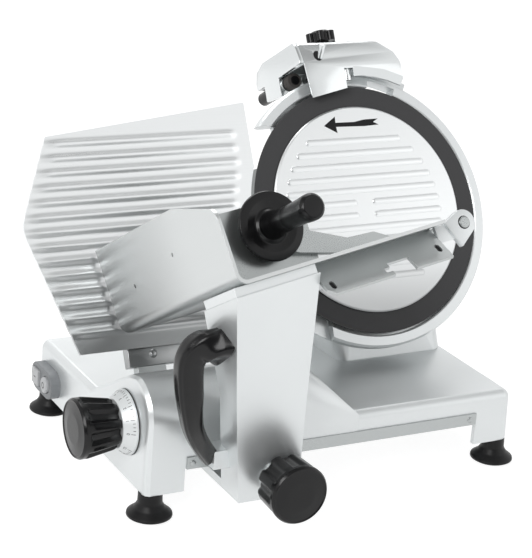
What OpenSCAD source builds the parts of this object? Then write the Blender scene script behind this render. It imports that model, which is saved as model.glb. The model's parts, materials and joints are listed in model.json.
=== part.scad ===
// Counter-top gravity meat slicer: base casting, tilted ring knife, sliding
// product table, thickness dial with a scroll cam, and a top-mounted sharpener.
// Millimetres, +Z up, +X along the carriage travel, the operator stands at -Y.

/* [Blade] */
// Diameter of the ring knife
blade_d = 250; // [240:1:260]
// Lean of the knife away from the operator, in degrees
blade_tilt = 29.5; // [28:0.5:31]
// Height of the knife's centre above the counter
blade_h = 220; // [215:1:225]
// Diameter of the ribbed cover plate in front of the knife
cover_d = 209; // [200:1:212]
// Outside diameter of the guard ring behind the knife
guard_d = 278; // [272:1:282]

/* [Base] */
// Left side of the base, from the knife's centre
base_left = 300; // [296:1:304]
// Right side of the base, from the knife's centre
base_right = 92; // [90:1:96]
// Front face of the base, from the knife's centre
base_front = 155; // [153:1:158]
// Back face of the base, from the knife's centre
base_back = 113; // [110:1:118]
// Height of the flat deck
deck_h = 76; // [74:1:78]
// Height of the raised block under the table
block_h = 125; // [122:1:128]
// Height of the feet
foot_h = 24; // [22:1:26]
// Wall thickness of the castings
wall = 5; // [4:0.5:6]

/* [Carriage] */
// Sideways tilt of the product table, in degrees
trough = 10; // [8:0.5:12]
// Length of the table, from the knife outwards
table_len = 250; // [240:1:255]
// Height of the fence above the table floor
fence_h = 81; // [74:1:84]
// Width of the table floor
floor_w = 204; // [195:1:206]
// Radius of the rod that the carriage slides on
rod_r = 8; // [7:0.5:8]

/* [Thickness control] */
// Greatest slice thickness
slice_max = 12; // [8:1:12]
// Turn of the dial for the greatest thickness, in degrees
dial_turn = 320; // [280:5:330]
// Diameter of the dial's graduated skirt
dial_d = 60; // [56:1:62]

/* [Hidden] */
$fn = 64;
eps = 0.05;
run = 0.05;
gap = 0.4;
blade_r = blade_d / 2;
cover_r = cover_d / 2;
guard_r = guard_d / 2;
// The finished part stands with the middle of its outline over the origin
shift_x = 112.28;
shift_y = 62.11;
// Floor and fence in the table's own frame: w to the right, h up, n to the operator
floor_top = -45;
sheet = 3;
fence_w = -296;
table_back = 6;
table_front = table_back + table_len;
floor_right = fence_w + floor_w;
// Carriage rod and guide bar
rod_y = -112;
rod_z = 50;
bar_y = -62;
bar_z = 38;
bar_r = 5;
slot_left = -262;
slot_right = 48;
slot_top = 46;
arm_x0 = -232.3;
arm_x1 = -173;
// Dial axis and gauge slide, in the base
dial_y = -109;
dial_z = 77.4;
dial_n = -dial_y * cos(blade_tilt) + (dial_z - blade_h) * sin(blade_tilt);
dial_v = dial_y * sin(blade_tilt) + (dial_z - blade_h) * cos(blade_tilt);
cam_r0 = 10;
cam_rate = slice_max / dial_turn;
gauge_rod_u = -248;
gauge_rod_v = -156;
gauge_rod_r = 6;
// Drive
spindle_r = 10;
pulley_n = -64;
pulley_w = 12;
pulley_r = 44;
motor_u = 20;
motor_v = -92;
motor_r = 36;
motor_pulley_r = 12.5;
// Pusher rod, in the table's frame
push_w = -65;
push_h = -51.5;
push_n = 126;
push_rod_r = 5;
head_w = -184;
head_h = 0;
// Sharpener post, in the knife's frame
post_u = 16;
post_n = -12;
post_r = 5.5;
clamp_u = -8;
clamp_n = -20;
grind_u = -46;
grind_v = 140;
hone_u = -22;
hone_v = 143;
// Screws of the bottom cover
cover_xy = [[-195, -42], [60, -42], [-195, 96], [60, 96]];
// Feet
feet_xy = [[-290, -145], [79, -145], [-290, 100], [79, 100]];
// Lock knob on the arm
lock_x = -198;
lock_z = 53.5;
// Switch on the left face
switch_y = 76;
switch_z = 44;

// Frames

// The finished part's own frame
module placed() {
  translate([shift_x, shift_y, 0]) children();
}

// On the knife: x right, y up the knife's face, z out of it to the operator
module on_blade() {
  placed() translate([0, 0, blade_h]) rotate([90 - blade_tilt, 0, 0]) children();
}

// On the product table: x along the floor, y up the fence, z to the operator
module on_table() {
  on_blade() rotate([0, 0, trough]) children();
}

// A profile drawn in Y and Z, extruded from x0 to x1
module along_x(x0, x1) {
  translate([x0, 0, 0]) rotate([90, 0, 90]) linear_extrude(x1 - x0) children();
}

// A cylinder along X
module rod_x(x0, x1, r, y, z) {
  translate([x0, y, z]) rotate([0, 90, 0]) cylinder(h = x1 - x0, r = r);
}

// A cylinder along Y
module rod_y(y0, y1, r, x, z) {
  translate([x, y1, z]) rotate([90, 0, 0]) cylinder(h = y1 - y0, r = r);
}

// A bar with round ends, lying along x
module capsule(length, width) {
  square([length - width, width], center = true);
  for (side = [-1, 1]) translate([side * (length - width) / 2, 0]) circle(width / 2, $fn = 24);
}

// A screw with a domed, slotless head standing on z = 0
module dome_screw(head_r, shank_r, length) {
  rotate_extrude($fn = 32) polygon(concat([[0, -length], [shank_r, -length], [shank_r, 0], [head_r, 0]],
    [for (a = [0:15:90]) [head_r * cos(a), head_r * 0.45 * sin(a)]]));
}

// A moulded knob with flutes, standing on z = 0
module fluted_knob(r, height, flutes, flute_r, crown) {
  difference() {
    rotate_extrude() polygon([[0, 0], [r * 0.80, 0], [r * 0.86, 2], [r, height * 0.72], [r, height - 3],
      [r - 1.2, height - 0.8], [r - 4, height], [r * 0.5, height + crown], [0, height + crown]]);
    for (i = [0:flutes - 1]) rotate(i * 360 / flutes) translate([r + flute_r * 0.62, 0, -1])
      rotate([0, 5, 0]) cylinder(h = height * 0.80, r = flute_r, $fn = 32);
  }
}

// Base

// Side profile of the raised block: round front, ramp that falls to the deck
module block_profile(inset, low) {
  arc_r = 34 - inset;
  arc_y = 34 - base_front;
  arc_z = block_h - 34;
  ramp_end = deck_h - 6;
  crest = [arc_y + arc_r * sin(blade_tilt), arc_z + arc_r * cos(blade_tilt)];
  polygon(concat([[arc_y - arc_r, low], [arc_y - arc_r, arc_z]],
    [for (a = [170:-10:90]) [arc_y + arc_r * cos(a), arc_z + arc_r * sin(a)]],
    [crest, [crest[0] + (crest[1] - ramp_end) / tan(blade_tilt), ramp_end],
      [crest[0] + (crest[1] - ramp_end) / tan(blade_tilt), low]]));
}

// Raised block with a rounded left edge and a slope down to the right
module block_solid(inset) {
  steps = [[0, 6], [1.5, 2.4], [5, 0]];
  low = inset > 0 ? foot_h - 1 : foot_h;
  hull() {
    for (s = steps) along_x(inset - base_left + s[0], inset - base_left + s[0] + 0.3)
      block_profile(inset + s[1], low);
    along_x(-141 - inset * 0.6, -140 - inset * 0.6) block_profile(inset, low);
    translate([-88 - inset, inset - base_front, low])
      cube([2, 60, deck_h - foot_h - 2 - inset]);
  }
}

// Box of the base with draft on its sides, between two heights
module base_solid(inset, z0, z1, edge) {
  x0 = -base_left + inset;
  x1 = base_right - inset;
  y0 = -base_front + inset;
  y1 = base_back - inset;
  draft = 4;
  corner = 13 - inset;
  hull() {
    for (x = [x0 + corner, x1 - corner], y = [y0 + corner, y1 - corner])
      translate([x, y, z0]) cylinder(h = 0.5, r = corner, $fn = 32);
    for (x = [x0 + edge, x1 - draft - edge], y = [y0 + edge, y1 - draft - edge])
      translate([x, y, z1 - edge]) sphere(edge, $fn = 32);
  }
}

module base_casting() {
  color("gainsboro") placed() difference() {
    union() {
      difference() {
        union() {
          base_solid(0, foot_h, deck_h, 9);
          block_solid(0);
        }
        base_solid(wall, foot_h - 1, deck_h - wall, 4);
        block_solid(wall);
      }
      base_bosses();
    }
    base_openings();
  }
}

// Bosses inside the shell for the feet, rods, dial and covers
module base_bosses() {
  for (p = feet_xy) translate([p[0], p[1], foot_h]) cylinder(h = 36, r = 9, $fn = 32);
  along_x(slot_left - 10, slot_left - 1) translate([-base_front + 3, rod_z - 12])
    square([base_front + rod_y + 11, 24]);
  along_x(base_right - 16, base_right - 4) translate([rod_y - 12, rod_z - 12]) square([24, 34]);
  for (x = [-base_left + 2, base_right - 14]) along_x(x, x + 12)
    translate([bar_y - 9, bar_z - 9]) square([18, 40]);
  rod_x(-base_left + 3, -base_left + 13, 10, dial_y, dial_z);
  for (x = [slot_left + 6.5, slot_right - 8]) rod_y(-base_front + 3, -base_front + 12, 6, x, 51.5);
  in_blade() for (n = [-42, 33]) translate([gauge_rod_u - 9, gauge_rod_v - 9, n]) cube([18, 26, 9]);
  for (p = cover_xy) translate([p[0], p[1], foot_h + 1.5])
    cylinder(h = p[0] < -100 && p[1] < 0 ? 57 : 48, r = 6, $fn = 32);
}

// Front gap for the carriage, holes for rods and controls, slot for the gauge carrier
module base_openings() {
  translate([slot_left, -base_front - 1, foot_h - 1])
    cube([slot_right - slot_left, 12, slot_top - foot_h + 1]);
  rod_x(slot_left - 8, base_right - 7, rod_r, rod_y, rod_z);
  rod_x(-base_left + 6, base_right - 7, bar_r, bar_y, bar_z);
  rod_x(-base_left - 2, -base_left + 14, 5 + run, dial_y, dial_z);
  for (x = [slot_left + 6.5, slot_right - 8]) rod_y(-base_front - 1, -base_front + 10, 1.6, x, 51.5);
  for (p = feet_xy) translate([p[0], p[1], foot_h - 1]) cylinder(h = 26, r = 3);
  for (p = cover_xy) translate([p[0], p[1], foot_h]) cylinder(h = 14, r = 1.6);
  in_blade() {
    translate([-272, -150, -32.6]) cube([36, 20, 30]);
    translate([gauge_rod_u, gauge_rod_v, -42]) cylinder(h = 84, r = gauge_rod_r);
  }
  translate([-24, -20, deck_h - 12]) cube([94, 108, 20]);
  along_x(-base_left - 2, -base_left + 8) translate([switch_y, switch_z]) square([34, 16], center = true);
  along_x(-base_left - 2, -base_left + 3.2) translate([switch_y, switch_z]) capsule(54, 28);
  rod_y(base_back - 9, base_back + 2, 6, -250, 48);
  rod_y(base_back - 3.5, base_back + 2, 11, -250, 48);
}

module feet() {
  color("#1c1c1c") placed() for (p = feet_xy) translate([p[0], p[1], 0]) difference() {
    rotate_extrude() polygon([[0, 0], [18, 0], [20.5, 1.2], [21, 3], [19.5, 5], [14.5, 9], [11.6, 13],
      [11, 17], [11, foot_h], [0, foot_h]]);
    translate([0, 0, -1]) cylinder(h = 9, r = 7);
    cylinder(h = foot_h + 1, r = 3);
  }
}

module foot_screws() {
  color("silver") placed() for (p = feet_xy) translate([p[0], p[1], 0]) {
    translate([0, 0, 3]) cylinder(h = 5, r = 6, $fn = 6);
    translate([0, 0, 3]) cylinder(h = foot_h + 20, r = 3);
  }
}

module bottom_cover() {
  color("#9a9d9f") placed() difference() {
    translate([-205, -48, foot_h]) cube([273, 150, 1.5]);
    for (p = cover_xy) translate([p[0], p[1], foot_h - 1]) cylinder(h = 4, r = 1.6);
    for (i = [0:9]) translate([-20 + i * 9, 10, foot_h - 1]) linear_extrude(4)
      rotate(90) capsule(50, 4);
  }
}

module rail_cover() {
  color("#b9bcbe") placed() difference() {
    translate([slot_left + 1, -base_front - 1.5, slot_top - 0.3])
      cube([slot_right - slot_left - 2, 1.5, 11.6]);
    for (x = [slot_left + 6.5, slot_right - 8]) rod_y(-base_front - 3, -base_front + 1, 1.6, x, 51.5);
  }
}

module cover_screws() {
  color("silver") placed() {
    for (p = cover_xy) translate([p[0], p[1], foot_h]) mirror([0, 0, 1]) dome_screw(3.4, 1.6, 12);
    for (x = [slot_left + 6.5, slot_right - 8]) translate([x, -base_front - 1.5, 51.5])
      rotate([90, 0, 0]) dome_screw(3, 1.6, 10);
  }
}

module carriage_rod() {
  color("#d5d8da") placed() rod_x(slot_left - 8, base_right - 7, rod_r, rod_y, rod_z);
}

module guide_bar() {
  color("#d5d8da") placed() rod_x(-base_left + 6, base_right - 7, bar_r, bar_y, bar_z);
}

// Carriage

module carriage_slider() {
  color("silver") placed() difference() {
    union() {
      translate([-237, rod_y - 18, 38]) cube([70, 36, 24]);
      translate([-215, rod_y + 10, 28]) cube([26, bar_y - rod_y - 18, 10]);
      translate([-215, rod_y + 10, 28]) cube([26, 8, 20]);
    }
    rod_x(-238, -166, rod_r + 3, rod_y, rod_z);
  }
}

module slide_bushes() {
  color("#c9a45c") placed() for (x = [-237, -189]) difference() {
    rod_x(x, x + 22, rod_r + 3, rod_y, rod_z);
    rod_x(x - 1, x + 23, rod_r + run, rod_y, rod_z);
  }
}

module guide_shoe() {
  color("#e8e6df") placed() difference() {
    translate([-215, bar_y - 8, 28]) cube([26, 18, 18]);
    rod_x(-216, -188, bar_r + run, bar_y, bar_z);
  }
}

// Four corner posts of the arm at the foot, at mid height and under the table
module arm_low(inset, back) {
  translate([arm_x0 + inset, -203 + inset, 30 + inset]) cube([arm_x1 - arm_x0 - 2 * inset, 34 + back, 2]);
}

module arm_mid(inset, back) {
  translate([-256 + inset, -231 + inset, 136]) cube([67 - 2 * inset, 32 + back, 3]);
}

module arm_top(inset, back) {
  translate([0, 0, blade_h]) rotate([90 - blade_tilt, 0, 0]) rotate([0, 0, trough])
    translate([-300 + inset, -57 - inset, 190 - back]) cube([79 - 2 * inset, 1, 63 + back - inset]);
}

module carriage_arm() {
  color("gainsboro") placed() difference() {
    union() {
      difference() {
        union() {
          hull() {
            arm_low(0, 0);
            arm_mid(0, 0);
          }
          hull() {
            arm_mid(0, 0);
            arm_top(0, 0);
          }
        }
        hull() {
          arm_low(3.5, 20);
          arm_mid(3.5, 20);
        }
        hull() {
          arm_mid(3.5, 20);
          arm_top(3.5, 20);
        }
      }
      translate([arm_x0, -202, 30]) cube([arm_x1 - arm_x0, 99, 8]);
      handle_pad();
      rod_y(-216, -202, 17, lock_x, lock_z);
    }
    rod_y(-236, -190, 6 + run, lock_x, lock_z);
    rod_x(-292, -255, 3.2, -228, 190);
    rod_x(-262, -225, 3.2, -187, 72);
  }
}

// Bent sheet of floor and fence, with the fence's front corner cut and rounded
module product_table() {
  bend = 10;
  color("gainsboro") on_table() difference() {
    translate([0, 0, table_back]) linear_extrude(table_len) {
      translate([fence_w, floor_top - sheet + bend]) square([sheet, fence_h - bend]);
      translate([fence_w + bend, floor_top - sheet]) square([floor_w - bend, sheet]);
      translate([fence_w + bend, floor_top - sheet + bend]) difference() {
        circle(bend);
        circle(bend - sheet);
        translate([0, -20]) square(40);
        translate([-20, 0]) square(40);
      }
    }
    fence_corner_cut();
    for (p = [[66, -12], [158, -2]]) translate([fence_w - 1, p[1], p[0]]) rotate([0, 90, 0])
      cylinder(h = sheet + 2, r = 1.7, $fn = 24);
  }
}

// What the fence's top front corner loses: a slope, then a round corner
module fence_corner_cut() {
  top = floor_top - sheet + fence_h;
  corner = 12;
  slope_n = 180;
  drop = 15;
  cx = table_front - corner;
  translate([fence_w - 1, 0, 0]) rotate([0, -90, 180]) linear_extrude(sheet + 2) mirror([0, 1]) difference() {
    polygon([[slope_n, top], [slope_n, top + 5], [table_front + 5, top + 5],
      [table_front + 5, top - drop - corner], [cx, top - drop - corner], [cx, top - drop]]);
    translate([cx, top - drop - corner]) circle(corner);
  }
}

module table_plate() {
  color("#c4c7c9") on_table() translate([-299, -56, 192]) cube([77, 8, 59]);
}

// Centre line of the handle: smooth through boss, grip and lower end
handle_stops = [[-266, -228, 190], [-296, -226, 193], [-299, -223, 176.6], [-294, -218, 145.5],
  [-288.8, -213, 123.7], [-269.5, -197, 88], [-255.9, -187, 72]];
function handle_stop(i) = handle_stops[max(0, min(i, len(handle_stops) - 1))];
function handle_point(t) =
  let (n = len(handle_stops) - 1, i = min(floor(t * n), n - 1), f = t * n - i,
    a = handle_stop(i - 1), b = handle_stop(i), c = handle_stop(i + 1), d = handle_stop(i + 2))
  (2 * b + (c - a) * f + (2 * a - 5 * b + 4 * c - d) * f * f + (3 * b - a - 3 * c + d) * f * f * f) / 2;
function handle_half(t) = t < 0.16 ? 17 - 29 * t
  : t < 0.75 ? 12.4
  : 12.4 - 8 * (t - 0.75);

// A tube through rings that each lie across the path
module swept(points, halves, sides) {
  n = len(points);
  tangent = [for (i = [0:n - 1])
    let (p = points[max(i - 1, 0)], q = points[min(i + 1, n - 1)]) (q - p) / norm(q - p)];
  across = [for (t = tangent) let (c = cross([0, 1, 0.35], t)) c / norm(c)];
  rings = [for (i = [0:n - 1], k = [0:sides - 1]) let (a = 360 * k / sides, b = cross(tangent[i], across[i]))
    points[i] + halves[i] * (across[i] * cos(a) + b * 0.92 * sin(a))];
  quads = [for (i = [0:n - 2], k = [0:sides - 1]) let (j = (k + 1) % sides)
    [i * sides + k, i * sides + j, (i + 1) * sides + j, (i + 1) * sides + k]];
  faces = concat([for (q = quads, half = [0, 1]) half == 0 ? [q[0], q[1], q[2]] : [q[0], q[2], q[3]]],
    [[for (k = [sides - 1:-1:0]) k]], [[for (k = [0:sides - 1]) (n - 1) * sides + k]]);
  polyhedron(points = rings, faces = [for (f = faces) [for (k = [len(f) - 1:-1:0]) f[k]]]);
}

// Cast pad that carries the handle's lower end
module handle_pad() {
  translate([-256, -197, 63]) cube([17, 21, 17]);
}

module carriage_handle() {
  steps = 26;
  color("#1b1b1b") placed() difference() {
    swept([for (i = [0:steps]) handle_point(i / steps)], [for (i = [0:steps]) handle_half(i / steps)], 14);
    hull() {
      arm_mid(-0.1, 0);
      arm_top(-0.1, 0);
    }
    hull() {
      arm_low(-0.1, 0);
      arm_mid(-0.1, 0);
    }
    handle_pad();
    rod_x(-290, -250, 3.2, -228, 190);
    rod_x(-260, -225, 3.2, -187, 72);
  }
}

module handle_bolts() {
  color("silver") placed() {
    rod_x(-290, -262, 3.2, -228, 190);
    rod_x(-260, -236, 3.2, -187, 72);
  }
}

// Angle under the floor's front edge: top flange, sloping front flange with a notch and slots
module front_bracket() {
  slope = 52;
  top = floor_top - sheet;
  fall = [-sin(slope), cos(slope)] * 36;
  face = [-cos(slope), -sin(slope)] * 3;
  bend = 3 * tan(slope / 2);
  color("#8f9496") on_table() difference() {
    translate([-218.5, 0, 0]) rotate([90, 0, 90]) linear_extrude(124.5)
      polygon([[top, 206], [top, 232], [top, 232] + fall, [top, 232] + fall + face,
        [top - 3, 232 - bend], [top - 3, 206]]);
    translate([0, top, 232]) rotate([slope - 90, 0, 0]) translate([0, -36, -5]) linear_extrude(10) {
      polygon([[-220, 8.17], [-220, -1], [-212.14, -1]]);
      translate([-154, -1]) square([22, 15]);
      translate([-160, 4.5]) square([8, 5]);
      for (p = [[-211, 9.5], [-101, 13]]) translate(p) rotate(90) capsule(9, 4.6);
    }
  }
}

// Two ears that carry the pusher rod at the table's right edge
module rod_lugs() {
  color("silver") on_table() for (lug = [[8, 5, -108], [236, 6, -94]]) translate([0, 0, lug[0]])
    linear_extrude(lug[1]) difference() {
      union() {
        translate([push_w, push_h]) circle(11);
        translate([lug[2], push_h - 11]) square([push_w - lug[2], 11 + floor_top - sheet - push_h]);
      }
      translate([push_w, push_h]) circle(push_rod_r);
    }
}

module pusher_rod() {
  color("#d5d8da") on_table() translate([push_w, push_h, 0]) {
    translate([0, 0, 7]) cylinder(h = 237, r = push_rod_r);
    translate([0, 0, 242]) cylinder(h = 4, r = 7.5);
    translate([0, 0, 246]) cylinder(h = 2, r1 = 7.5, r2 = 6.2);
  }
}

module pusher_bush() {
  color("#c9a45c") on_table() translate([push_w, push_h, push_n - 16]) difference() {
    union() {
      cylinder(h = 34, r = push_rod_r + 2);
      cylinder(h = 2, r = 9.5);
      translate([0, 0, 32]) cylinder(h = 2, r = 9.5);
    }
    translate([0, 0, -1]) cylinder(h = 36, r = push_rod_r + run);
  }
}

// Curved arm from the rod to the head, with its hub
module pusher_arm() {
  color("silver") on_table() translate([0, 0, push_n - 13.6]) difference() {
    union() {
      translate([push_w, push_h, 0]) cylinder(h = 29.2, r = 11);
      translate([0, 0, 6]) linear_extrude(9) {
        hull() {
          translate([head_w, head_h]) circle(13);
          translate([-158, -19]) circle(11);
        }
        hull() {
          translate([-158, -19]) circle(11);
          translate([-112, -35.5]) circle(7);
        }
        hull() {
          translate([-112, -35.5]) circle(7);
          translate([-84, -37]) circle(7);
        }
        hull() {
          translate([-84, -37]) circle(7);
          translate([push_w, push_h]) circle(10);
        }
      }
    }
    translate([push_w, push_h, -1]) cylinder(h = 32, r = push_rod_r + 2 + run);
    translate([head_w, head_h, 0]) cylinder(h = 30, r = 4);
  }
}

// Plate with rows of short spikes towards the knife
module pusher_plate() {
  color("silver") on_table() translate([0, 0, push_n - 10.6]) difference() {
    union() {
      linear_extrude(3) {
        translate([-236, -40]) square([96, 34]);
        translate([-230, -34]) square([66, 52]);
        translate([-224, 12]) square([54, 12]);
        translate([-224, 18]) circle(6);
        translate([-170, 18]) circle(6);
      }
      for (i = [0:7], j = [0:2]) translate([-228 + i * 11.5, -34 + j * 11, 0.2]) mirror([0, 0, 1])
        cylinder(h = 6, r1 = 2.2, r2 = 0.3, $fn = 24);
    }
    translate([head_w, head_h, -1]) cylinder(h = 6, r = 4);
  }
}

module hand_guard() {
  color("#151515") on_table() translate([head_w, head_h, push_n + 1.4]) difference() {
    rotate_extrude() polygon([[0, 0], [13, 0], [14, 2], [26, 4.5], [31, 3.6], [32, 5], [31, 7.4], [24, 8],
      [15, 6.5], [12.5, 9], [0, 9]]);
    translate([0, 0, -1]) cylinder(h = 12, r = 4);
  }
}

module pusher_grip() {
  color("#151515") on_table() translate([head_w, head_h, push_n + 10.4]) rotate_extrude()
    polygon(concat([[0, -19], [4, -19], [4, 0], [12.5, 0], [13, 2], [11.2, 14], [10.6, 34], [11.2, 58],
      [12, 70], [12, 74]],
      [for (a = [15:15:90]) [9 + 3 * cos(a), 74 + 3 * sin(a)]], [[0, 77.6]]));
}

module lock_knob() {
  color("#1b1b1b") placed() translate([lock_x, -216 - gap, lock_z]) rotate([90, 0, 0]) difference() {
    fluted_knob(27, 34, 8, 9, 1.5);
    translate([0, 0, -1]) cylinder(h = 20, r = 6);
  }
}

module lock_stud() {
  color("silver") placed() rod_y(-235, -202, 6, lock_x, lock_z);
}

// Thickness gauge

// Outline of the gauge plate, hollowed to clear the knife
module gauge_outline() {
  offset(r = 6, $fn = 24) offset(delta = -6) difference() {
    polygon([[-328, 92], [-364, 8], [-326, -111], [-120, -111], [-104, -90], [-104, 117]]);
    circle(blade_r + 2.5, $fn = 120);
    translate([-117, 52]) square([40, 90]);
  }
}

module gauge_plate() {
  pitch = 13.6;
  color("whitesmoke") on_blade() {
    translate([0, 0, -6.5]) linear_extrude(5) gauge_outline();
    translate([0, 0, -1.6]) linear_extrude(1.6) intersection() {
      for (i = [0:13]) translate([-250, -92 + i * pitch]) square([300, 7.4], center = true);
      offset(r = 3.5, $fn = 16) offset(delta = -10) gauge_outline();
    }
    translate([-276, -128, -18]) cube([55, 24, 11.6]);
    translate([-251, -117, -6.5]) dome_screw(4.2, 2, 4);
  }
}

// Plate that hangs from the gauge into the base, with its follower pin and slide boss
module gauge_carrier() {
  pin_n = dial_n - cam_r0;
  color("#a9acae") on_blade() difference() {
    union() {
      translate([-268, -150, -18]) cube([28, 22, 11.6]);
      translate([-268, gauge_rod_v - 6, -18]) cube([20, 16, 36]);
      translate([-268, dial_v - 6, pin_n - 6]) cube([8, gauge_rod_v - dial_v + 6, 12]);
      translate([gauge_rod_u, gauge_rod_v, -18]) cylinder(h = 36, r = 10);
      translate([-283.2, dial_v, pin_n]) rotate([0, 90, 0]) cylinder(h = 18, r = 3);
    }
    translate([gauge_rod_u, gauge_rod_v, -40]) cylinder(h = 80, r = gauge_rod_r + run);
  }
}

module gauge_rod() {
  color("#d5d8da") on_blade() translate([gauge_rod_u, gauge_rod_v, -42]) cylinder(h = 84, r = gauge_rod_r);
}

module dial_knob() {
  color("#1b1b1b") placed() translate([-base_left - 13, dial_y, dial_z]) rotate([0, -90, 0]) difference() {
    fluted_knob(27.5, 38, 8, 9, 1.2);
    translate([0, 0, -1]) cylinder(h = 22, r = 5);
  }
}

module dial_skirt() {
  r = dial_d / 2;
  color("#d9dbdc") placed() translate([-base_left - gap, dial_y, dial_z]) rotate([0, -90, 0]) difference() {
    rotate_extrude() polygon([[0, 0], [r - 0.6, 0], [r, 0.8], [r, 2.2], [r - 7.5, 12.6], [0, 12.6]]);
    translate([0, 0, -1]) cylinder(h = 15, r = 5);
  }
}

// Shaft of the dial and the scroll cam on its inner end
module dial_shaft() {
  color("#b5b8ba") placed() {
    rod_x(-base_left - 33, -276, 5, dial_y, dial_z);
    translate([-285, dial_y, dial_z]) rotate([90, 0, 90]) difference() {
      cylinder(h = 8, r = 30);
      translate([0, 0, 1.4]) linear_extrude(8) scroll_groove(3 + gap);
    }
  }
}

// Spiral groove whose radius grows by the slice thickness over the dial's turn
module scroll_groove(half) {
  start = -blade_tilt;
  turn = [for (t = [-24:8:dial_turn + 16]) t];
  function groove_r(t) = cam_r0 + cam_rate * t;
  outer = [for (t = turn) (groove_r(t) + half) * [cos(start - t), sin(start - t)]];
  inner = [for (i = [len(turn) - 1:-1:0])
    (groove_r(turn[i]) - half) * [cos(start - turn[i]), sin(start - turn[i])]];
  polygon(concat(outer, inner));
}

// Switch

module switch_housing() {
  color("#7d8286") placed() difference() {
    union() {
      along_x(-base_left - 10, -base_left + 3.2) translate([switch_y, switch_z]) capsule(54, 28);
      along_x(-base_left + 3, -base_left + 30) translate([switch_y, switch_z])
        square([28, 15], center = true);
    }
    along_x(-base_left - 12, -base_left - 2) translate([switch_y + 12, switch_z])
      square([16.6, 16.6], center = true);
    rod_x(-base_left - 12, -base_left - 2, 8.3, switch_y - 12, switch_z);
  }
}

module start_button() {
  color("#cfd3d2") placed() along_x(-base_left - 12.5, -base_left - 5) translate([switch_y + 12, switch_z])
    square([16, 16], center = true);
}

module stop_button() {
  color("#b9bdbf") placed() translate([-base_left - 5, switch_y - 12, switch_z]) rotate([0, -90, 0])
    rotate_extrude() polygon([[0, 0], [8, 0], [8, 7], [7, 8], [0, 8]]);
}

// Knife, housing and drive

// The knife's frame without the shift, for use inside placed()
module in_blade() {
  translate([0, 0, blade_h]) rotate([90 - blade_tilt, 0, 0]) children();
}

// Foot on the deck, blended into the front of the bowl
module pedestal(inset) {
  x1 = 82;
  y1 = 102;
  hull() {
    for (x = [-43 + 14, x1 - 14], y = [-40 + 14, y1 - 14])
      translate([x, y, deck_h - (inset > 0 ? 1 : 0)]) cylinder(h = 1, r = 14 - inset, $fn = 32);
    in_blade() translate([0, 0, -29 + inset / 5])
      cylinder(h = 15 - inset * 0.7, r = 70 - inset * 1.2, $fn = 48);
  }
}

module blade_housing() {
  color("gainsboro") placed() difference() {
    union() {
      difference() {
        union() {
          pedestal(0);
          in_blade() {
            translate([0, 0, -70]) rotate_extrude() polygon([[0, 0], [62, 0], [67, 1.4], [70.6, 5], [72, 10],
              [72, 57], [0, 57]]);
            translate([0, 0, -107]) cylinder(h = 49, r = 26);
            translate([0, 0, -18]) guard_ring();
          }
        }
        pedestal(wall);
        in_blade() translate([0, 0, -67]) cylinder(h = 48, r = 67);
      }
      in_blade() translate([0, 0, -50]) cylinder(h = 40, r = 26);
      in_blade() translate([0, 0, -106]) cylinder(h = 39, r = 12);
    }
    in_blade() {
      translate([0, 0, -51]) cylinder(h = 56, r = spindle_r + 2);
      for (n = [-22, -46]) translate([0, 0, n]) cylinder(h = 9, r = 17.5);
      translate([0, 0, -10]) cylinder(h = 30, r = 124);
      translate([0, 0, -108]) cylinder(h = 49, r = 4);
      translate([post_u, 127, post_n]) rotate([-90, 0, 0]) cylinder(h = 40, r = post_r);
    }
  }
}

// Disc behind the knife with a raised lip: cut away on the cutting side, with a window
// under the sharpener that a higher arch spans
module guard_ring() {
  arch = 147;
  difference() {
    union() {
      rotate_extrude() polygon([[0, 0], [guard_r - 5, 0], [guard_r, 5], [guard_r, 13], [guard_r - 2, 15.5],
        [blade_r + 3.5, 16], [blade_r + 2, 15], [blade_r + 2, 8], [0, 8]]);
      rotate(60) rotate_extrude(angle = 33) polygon([[blade_r + 9, 0], [arch, 0], [arch, 10.5],
        [arch - 1.5, 12], [blade_r + 9, 12]]);
    }
    rotate(65) rotate_extrude(angle = 13.5) polygon([[blade_r + 0.6, -1], [blade_r + 9, -1],
      [blade_r + 9, 20], [blade_r + 0.6, 20]]);
    translate([-guard_r - 1, -guard_r, -20]) cube([guard_r - 83, 2 * guard_r - 48, 50]);
    translate([-guard_r - 1, -guard_r, 7]) cube([guard_r - 60, 2 * guard_r - 48, 30]);
  }
}

// Ring knife: flat front rim, hollow back, sharp edge
module blade() {
  color("#4a4a4a") on_blade() difference() {
    rotate_extrude($fn = 128) polygon([[spindle_r + 8, -6.5], [spindle_r + 8, -2.5], [cover_r - 2, -2.5],
      [cover_r + 1, 0], [blade_r - 0.4, 0], [blade_r, -0.6], [blade_r - 11, -3.6], [blade_r - 25, -6.5]]);
    for (i = [0:3]) rotate(45 + i * 90) translate([24, 0, -8]) cylinder(h = 8, r = 2.5);
  }
}

module blade_hub() {
  color("silver") on_blade() difference() {
    union() {
      translate([0, 0, -9.5]) cylinder(h = 3, r = 31);
      translate([0, 0, -9.5]) cylinder(h = 7, r = spindle_r + 8);
    }
    translate([0, 0, -11]) cylinder(h = 12, r = spindle_r);
    for (i = [0:3]) rotate(45 + i * 90) translate([24, 0, -11]) cylinder(h = 8, r = 2.5);
  }
}

module blade_screws() {
  color("silver") on_blade() for (i = [0:3]) rotate(45 + i * 90) translate([24, 0, -2.5]) {
    translate([0, 0, -7]) cylinder(h = 7, r = 2.5);
    cylinder(h = 1.8, r = 4.5);
  }
}

module blade_spindle() {
  color("#b5b8ba") on_blade() difference() {
    translate([0, 0, -66]) cylinder(h = 63.5, r = spindle_r);
    translate([0, 0, -67]) cylinder(h = 68, r = 5.5);
  }
}

module spindle_bearings() {
  color("#cfd2d4") on_blade() for (n = [-22, -46]) translate([0, 0, n]) difference() {
    cylinder(h = 9, r = 17.5);
    translate([0, 0, -1]) cylinder(h = 11, r = spindle_r + run);
  }
}

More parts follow.
